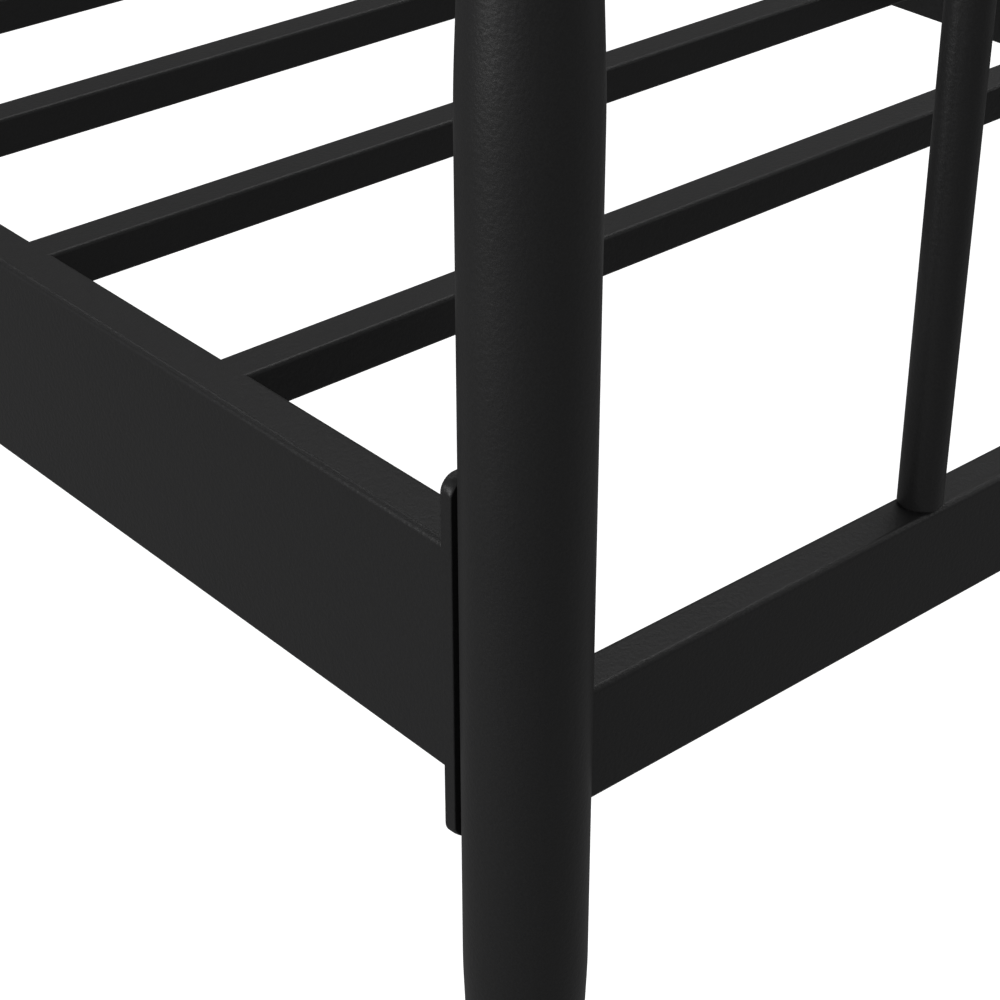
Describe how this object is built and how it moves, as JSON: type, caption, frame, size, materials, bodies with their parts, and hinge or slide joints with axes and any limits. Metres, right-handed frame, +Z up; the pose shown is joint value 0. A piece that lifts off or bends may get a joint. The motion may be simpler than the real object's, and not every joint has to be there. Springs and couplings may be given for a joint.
{
  "type": "metal bed frame",
  "caption": "Single bed frame of tapered round posts, deep rectangular side rails, spindled head and foot ends and square slats on a centre beam, with screw-out levelling feet.",
  "frame": {"origin": "floor level under the middle of the bed", "axes": "+Z up, +Y towards the head end, +X to the right when looking from the foot towards the head"},
  "size_m": [1.052, 1.968, 1.09],
  "materials": {
    "powder_coat": "matte black fine-texture powder coat",
    "black_hardware": "black zinc-plated steel",
    "black_plastic": "moulded black plastic"
  },
  "bodies": {
    "frame": {"beam_cradle_foot": "powder_coat", "beam_cradle_head": "powder_coat", "centre_beam": "powder_coat", "cradle_bolts": "black_hardware", "cradle_nuts": "black_hardware", "foot_lower_rail": "powder_coat", "foot_spindle_1": "powder_coat", "foot_spindle_2": "powder_coat", "foot_spindle_3": "powder_coat", "foot_spindle_4": "powder_coat", "foot_spindle_5": "powder_coat", "foot_top_rail": "powder_coat", "glide_sockets": "black_plastic", "head_lower_rail": "powder_coat", "head_spindle_1": "powder_coat", "head_spindle_2": "powder_coat", "head_spindle_3": "powder_coat", "head_spindle_4": "powder_coat", "head_spindle_5": "powder_coat", "head_top_rail": "powder_coat", "post_caps": "black_plastic", "post_foot_left": "powder_coat", "post_foot_right": "powder_coat", "post_head_left": "powder_coat", "post_head_right": "powder_coat", "rail_bolt_bushes": "black_hardware", "rail_bolts": "black_hardware", "rail_end_plate_foot_left": "powder_coat", "rail_end_plate_foot_right": "powder_coat", "rail_end_plate_head_left": "powder_coat", "rail_end_plate_head_right": "powder_coat", "side_rail_left": "powder_coat", "side_rail_right": "powder_coat", "slat_01": "powder_coat", "slat_02": "powder_coat", "slat_03": "powder_coat", "slat_04": "powder_coat", "slat_05": "powder_coat", "slat_06": "powder_coat", "slat_07": "powder_coat", "slat_08": "powder_coat", "slat_09": "powder_coat", "slat_10": "powder_coat", "slat_11": "powder_coat", "slat_12": "powder_coat", "slat_13": "powder_coat", "slat_14": "powder_coat", "slat_15": "powder_coat"},
    "glide_foot_left": {"glide_pad_foot_left": "black_plastic", "glide_stud_foot_left": "black_hardware"},
    "glide_foot_right": {"glide_pad_foot_right": "black_plastic", "glide_stud_foot_right": "black_hardware"},
    "glide_head_left": {"glide_pad_head_left": "black_plastic", "glide_stud_head_left": "black_hardware"},
    "glide_head_right": {"glide_pad_head_right": "black_plastic", "glide_stud_head_right": "black_hardware"}
  },
  "joints": [
    {"name": "glide_foot_left_screw", "type": "slide", "parent": "frame", "child": "glide_foot_left", "axis": [0, 0, -1], "range_m": [0, 0.012]},
    {"name": "glide_foot_right_screw", "type": "slide", "parent": "frame", "child": "glide_foot_right", "axis": [0, 0, -1], "range_m": [0, 0.012]},
    {"name": "glide_head_left_screw", "type": "slide", "parent": "frame", "child": "glide_head_left", "axis": [0, 0, -1], "range_m": [0, 0.012]},
    {"name": "glide_head_right_screw", "type": "slide", "parent": "frame", "child": "glide_head_right", "axis": [0, 0, -1], "range_m": [0, 0.012]}
  ]
}
